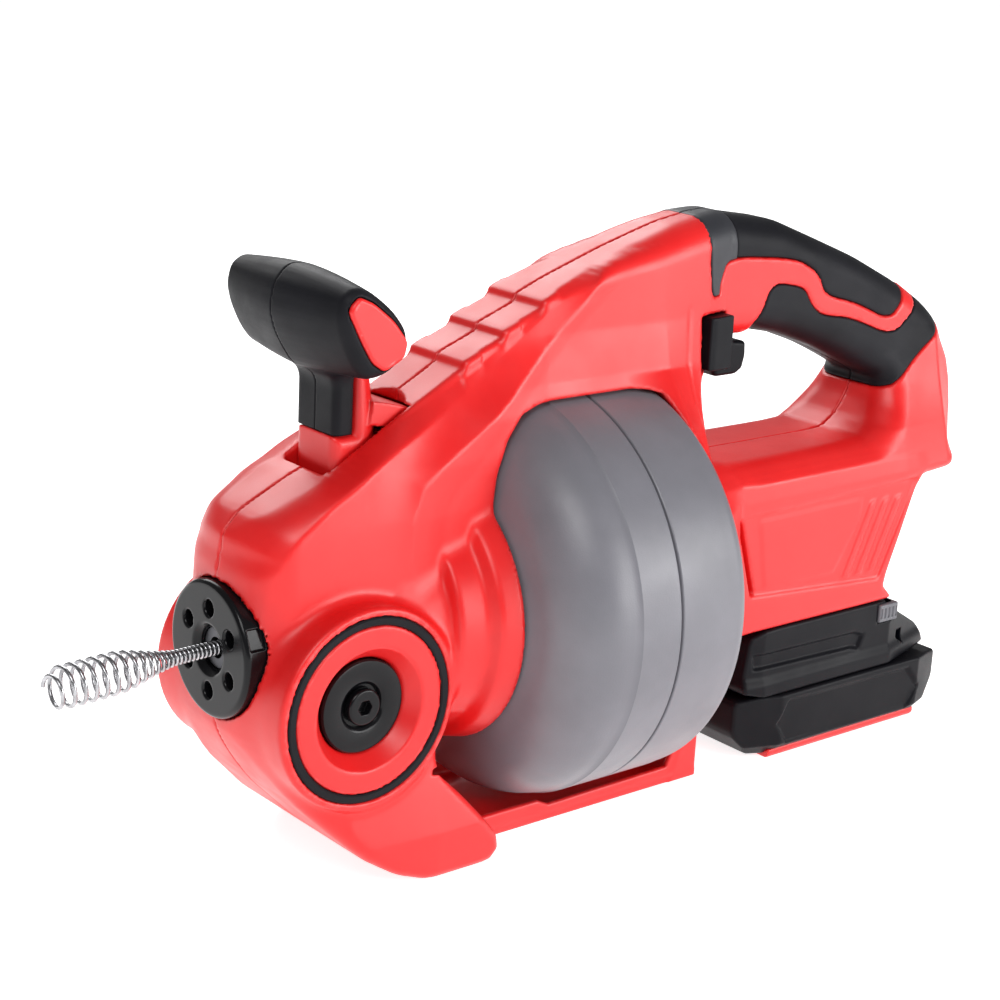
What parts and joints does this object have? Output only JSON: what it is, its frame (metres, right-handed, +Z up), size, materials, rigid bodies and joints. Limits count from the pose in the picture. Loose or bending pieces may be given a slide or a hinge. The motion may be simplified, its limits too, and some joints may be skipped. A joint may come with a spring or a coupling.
{
  "type": "drain snake machine",
  "caption": "Cordless hand-held drain cleaning machine: a motor-driven cable drum in a clamshell housing, with a feed lever on the head and a battery under a D-shaped grip.",
  "frame": {"origin": "on the floor under the drum, on the flat underside of the bottom rail", "axes": "-X along the cable towards the nose, +Z up, +Y to the right side of the machine"},
  "size_m": [0.496, 0.1814, 0.258],
  "materials": {
    "red_plastic": "moulded, semi-gloss",
    "black_rubber": "soft moulded overmould",
    "gloss_black": "gloss",
    "black_plastic": "fine grained",
    "grey_latch": "fine grained",
    "grey_plastic": "satin, fine spark-eroded grain",
    "cable_steel": "drawn spring wire",
    "circuit_board": "solder mask",
    "cell_wrap": "shrink sleeve",
    "bronze": "sintered",
    "alloy": "die cast",
    "motor_steel": "phosphated",
    "bright_steel": "machined"
  },
  "bodies": {
    "housing": {"boss_hub_left": "gloss_black", "boss_hub_right": "gloss_black", "boss_ring_left": "black_rubber", "boss_ring_right": "black_rubber", "bottom_rail": "red_plastic", "case_screw_1": "bright_steel", "case_screw_2": "bright_steel", "case_screw_3": "bright_steel", "case_screw_4": "bright_steel", "control_board": "circuit_board", "feed_block": "alloy", "front_bearing": "bronze", "gearbox_case": "alloy", "grip_lower_left": "black_rubber", "grip_lower_right": "black_rubber", "grip_upper_left": "black_rubber", "grip_upper_right": "black_rubber", "guide_tube": "bright_steel", "left_housing": "red_plastic", "motor_can": "motor_steel", "motor_end_cap": "black_plastic", "nose_bushing": "motor_steel", "nose_cap": "gloss_black", "pivot_bolt_left": "gloss_black", "pivot_bolt_right": "gloss_black", "right_housing": "red_plastic", "ring_gear": "bright_steel", "spindle_bearing": "bright_steel", "switch_module": "black_plastic", "terminal_block": "black_plastic"},
    "drum": {"drum_front_shell": "grey_plastic", "drum_rear_shell": "grey_plastic", "cable_coil": "cable_steel", "drum_hub": "alloy", "spindle_nut": "bright_steel", "planet_carrier": "bright_steel"},
    "cable": {"cable": "cable_steel"},
    "rotor": {"motor_rotor": "motor_steel", "sun_gear": "bright_steel"},
    "planet_1": {"planet_gear_1": "bright_steel"},
    "planet_2": {"planet_gear_2": "bright_steel"},
    "planet_3": {"planet_gear_3": "bright_steel"},
    "lever": {"feed_lever": "red_plastic", "lever_grip_left": "black_rubber", "lever_grip_right": "black_rubber", "lever_cap_left": "red_plastic", "lever_cap_right": "red_plastic"},
    "carriage": {"roller_carriage": "alloy"},
    "top_roller": {"top_roller": "bright_steel"},
    "lower_roller_left": {"lower_roller_left": "bright_steel"},
    "lower_roller_right": {"lower_roller_right": "bright_steel"},
    "trigger": {"trigger": "black_plastic"},
    "selector": {"direction_selector": "black_plastic"},
    "battery": {"battery_top_case": "black_plastic", "battery_bottom_case": "black_plastic", "battery_base_strip": "red_plastic", "cell_pack": "cell_wrap"},
    "latch_left": {"battery_latch_left": "grey_latch"},
    "latch_right": {"battery_latch_right": "grey_latch"}
  },
  "joints": [
    {"name": "drum_spin", "type": "hinge", "parent": "housing", "child": "drum", "pos_m": [0, 0, 0.1], "axis": [1, 0, 0], "continuous": true},
    {"name": "cable_feed", "type": "slide", "parent": "drum", "child": "cable", "axis": [-1, 0, 0], "range_m": [-0.012, 0.04]},
    {"name": "rotor_spin", "type": "hinge", "parent": "housing", "child": "rotor", "pos_m": [0, 0, 0.1], "axis": [1, 0, 0], "continuous": true},
    {"name": "planet_1_spin", "type": "hinge", "parent": "drum", "child": "planet_1", "pos_m": [0.09, 0, 0.115], "axis": [1, 0, 0], "continuous": true},
    {"name": "planet_2_spin", "type": "hinge", "parent": "drum", "child": "planet_2", "pos_m": [0.09, -0.01299, 0.0925], "axis": [1, 0, 0], "continuous": true},
    {"name": "planet_3_spin", "type": "hinge", "parent": "drum", "child": "planet_3", "pos_m": [0.09, 0.01299, 0.0925], "axis": [1, 0, 0], "continuous": true},
    {"name": "feed_lever_tilt", "type": "hinge", "parent": "housing", "child": "lever", "pos_m": [-0.114, 0, 0.08], "axis": [0, 1, 0], "range_deg": [-3, 8]},
    {"name": "carriage_slide", "type": "slide", "parent": "housing", "child": "carriage", "axis": [0, 0, -1], "range_m": [-0.0006, 0.0012]},
    {"name": "top_roller_spin", "type": "hinge", "parent": "carriage", "child": "top_roller", "pos_m": [-0.114, 0, 0.11285], "axis": [1, 0, 0], "continuous": true},
    {"name": "lower_roller_left_spin", "type": "hinge", "parent": "housing", "child": "lower_roller_left", "pos_m": [-0.114, -0.00992, 0.09427], "axis": [1, 0, 0], "continuous": true},
    {"name": "lower_roller_right_spin", "type": "hinge", "parent": "housing", "child": "lower_roller_right", "pos_m": [-0.114, 0.00992, 0.09427], "axis": [1, 0, 0], "continuous": true},
    {"name": "trigger_pull", "type": "slide", "parent": "housing", "child": "trigger", "axis": [1, 0, 0], "range_m": [0, 0.005], "stiffness_N_per_m": 900, "springref_m": -0.002},
    {"name": "selector_slide", "type": "slide", "parent": "housing", "child": "selector", "axis": [0, 1, 0], "range_m": [-0.003, 0.003]},
    {"name": "battery_slide", "type": "slide", "parent": "housing", "child": "battery", "axis": [1, 0, 0], "range_m": [0, 0.12]},
    {"name": "latch_left_press", "type": "slide", "parent": "battery", "child": "latch_left", "axis": [0, 1, 0], "range_m": [0, 0.0025], "stiffness_N_per_m": 900, "springref_m": -0.002},
    {"name": "latch_right_press", "type": "slide", "parent": "battery", "child": "latch_right", "axis": [0, -1, 0], "range_m": [0, 0.0025], "stiffness_N_per_m": 900, "springref_m": -0.002}
  ],
  "couplings": [
    {"joint": "rotor_spin", "follows": "drum_spin", "ratio": 5},
    {"joint": "planet_1_spin", "follows": "drum_spin", "ratio": -2.6667},
    {"joint": "planet_2_spin", "follows": "drum_spin", "ratio": -2.6667},
    {"joint": "planet_3_spin", "follows": "drum_spin", "ratio": -2.6667},
    {"joint": "lower_roller_left_spin", "follows": "drum_spin", "ratio": -0.3938},
    {"joint": "lower_roller_right_spin", "follows": "drum_spin", "ratio": -0.3938},
    {"joint": "carriage_slide", "follows": "feed_lever_tilt", "m_per_rad": 0.008}
  ]
}
